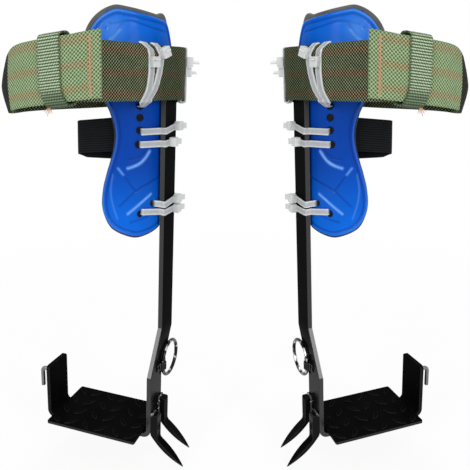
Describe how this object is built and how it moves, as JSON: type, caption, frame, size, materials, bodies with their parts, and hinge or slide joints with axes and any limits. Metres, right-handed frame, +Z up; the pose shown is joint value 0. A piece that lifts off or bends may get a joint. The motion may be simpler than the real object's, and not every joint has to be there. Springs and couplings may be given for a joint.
{
  "type": "tree climbing spikes",
  "caption": "Pair of tree climbing spikes with joggled steel shanks, forged gaff points, lugged tread plates, blue shin pads, striped webbing calf belts and nylon ties.",
  "frame": {"origin": "Midway between the two climbers, level with the top faces of the tread plates: the point under a standing wearer, between the boots.", "axes": "+X from the left climber in the picture to the right one, +Y away from the picture's viewer (towards the heels), +Z up the legs."},
  "size_m": [0.4534, 0.1535, 0.4864],
  "materials": {
    "black_paint": "satin black paint on steel",
    "bright_zinc": "bright zinc plating",
    "bright_plate": "polished plating",
    "blue_shell": "glossy moulded royal blue",
    "grey_foam": "matt closed-cell foam",
    "black_elastic": "ribbed woven elastic",
    "green_webbing": "coarse woven webbing with rust-coloured stripes",
    "keeper_webbing": "narrow woven webbing",
    "white_nylon": "natural white nylon"
  },
  "bodies": {
    "climbers": {"left_tread_plate": "black_paint", "left_shank": "black_paint", "left_outer_upright": "black_paint", "left_strap_hook": "bright_zinc", "left_front_spike": "black_paint", "left_rear_spike": "black_paint", "left_ring_clip": "black_paint", "left_pad_shell": "blue_shell", "left_pad_liner": "grey_foam", "left_elastic_band": "black_elastic", "left_calf_belt": "green_webbing", "left_upper_pad_tie": "white_nylon", "left_middle_pad_tie": "white_nylon", "left_lower_back_pad_tie": "white_nylon", "left_lower_front_pad_tie": "white_nylon", "left_first_belt_tie": "white_nylon", "left_second_belt_tie": "white_nylon", "left_first_turn_tie": "white_nylon", "left_second_turn_tie": "white_nylon", "right_tread_plate": "black_paint", "right_shank": "black_paint", "right_outer_upright": "black_paint", "right_strap_hook": "bright_zinc", "right_front_spike": "black_paint", "right_rear_spike": "black_paint", "right_ring_clip": "black_paint", "right_pad_shell": "blue_shell", "right_pad_liner": "grey_foam", "right_elastic_band": "black_elastic", "right_calf_belt": "green_webbing", "right_upper_pad_tie": "white_nylon", "right_middle_pad_tie": "white_nylon", "right_lower_back_pad_tie": "white_nylon", "right_lower_front_pad_tie": "white_nylon", "right_first_belt_tie": "white_nylon", "right_second_belt_tie": "white_nylon", "right_first_turn_tie": "white_nylon", "right_second_turn_tie": "white_nylon"},
    "left_swing_ring": {"left_ring": "bright_plate"},
    "left_sliding_keeper": {"left_belt_keeper": "keeper_webbing"},
    "right_swing_ring": {"right_ring": "bright_plate"},
    "right_sliding_keeper": {"right_belt_keeper": "keeper_webbing"}
  },
  "joints": [
    {"name": "left_ring_swing", "type": "hinge", "parent": "climbers", "child": "left_swing_ring", "pos_m": [-0.0814, -0.00806, 0.06654], "axis": [-0.0506, 0, -0.9987], "range_deg": [0, 175]},
    {"name": "left_keeper_slide", "type": "slide", "parent": "climbers", "child": "left_sliding_keeper", "axis": [-0.961, 0.2518, -0.1142], "range_m": [0, 0.012]},
    {"name": "right_ring_swing", "type": "hinge", "parent": "climbers", "child": "right_swing_ring", "pos_m": [0.0814, -0.00806, 0.06654], "axis": [-0.0506, 0, 0.9987], "range_deg": [0, 175]},
    {"name": "right_keeper_slide", "type": "slide", "parent": "climbers", "child": "right_sliding_keeper", "axis": [0.961, 0.2518, -0.1142], "range_m": [0, 0.012]}
  ]
}
